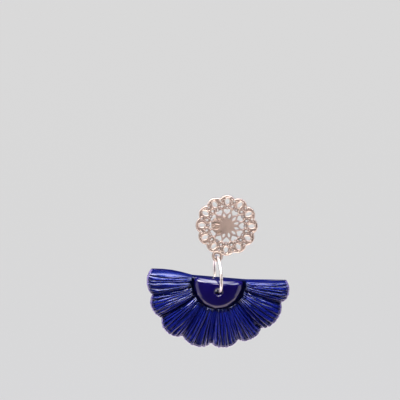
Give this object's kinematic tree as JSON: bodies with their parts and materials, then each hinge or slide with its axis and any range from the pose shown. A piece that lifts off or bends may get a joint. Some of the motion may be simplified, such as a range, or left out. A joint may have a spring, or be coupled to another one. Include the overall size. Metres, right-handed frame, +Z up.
{
  "type": "fan drop earring",
  "caption": "Drop earring: pierced filigree disc on an ear post, with a jump ring that carries a pleated half-round fan with a domed hub.",
  "frame": {"origin": "middle of the ear post's pad at its back face, where the earring pins on", "axes": "+Y along the post into the ear lobe, +Z up, +X to the right as seen from the front"},
  "size_m": [0.0376, 0.0168, 0.0417],
  "materials": {
    "filigree": "stamped filigree in a warm silver plating, softly worn",
    "bright_metal": "bright silver plating",
    "blue_clay": "scored ultramarine polymer clay under clear gloss",
    "blue_clay_gloss": "smooth dark ultramarine polymer clay under thick clear gloss"
  },
  "bodies": {
    "stud": {"filigree_disc": "filigree", "ear_post": "bright_metal"},
    "ring": {"jump_ring": "bright_metal"},
    "drop": {"pleated_fan": "blue_clay", "fan_hub": "blue_clay_gloss"}
  },
  "joints": [
    {"name": "ring_sway", "type": "hinge", "parent": "stud", "child": "ring", "pos_m": [-0.00087, -0.00085, -0.00815], "axis": [0, 1, 0], "range_deg": [-40, 40]},
    {"name": "fan_swing", "type": "hinge", "parent": "ring", "child": "drop", "pos_m": [-0.0007, -0.00085, -0.013], "axis": [0.9842, 0.1736, 0.0344], "range_deg": [-60, 60]}
  ]
}
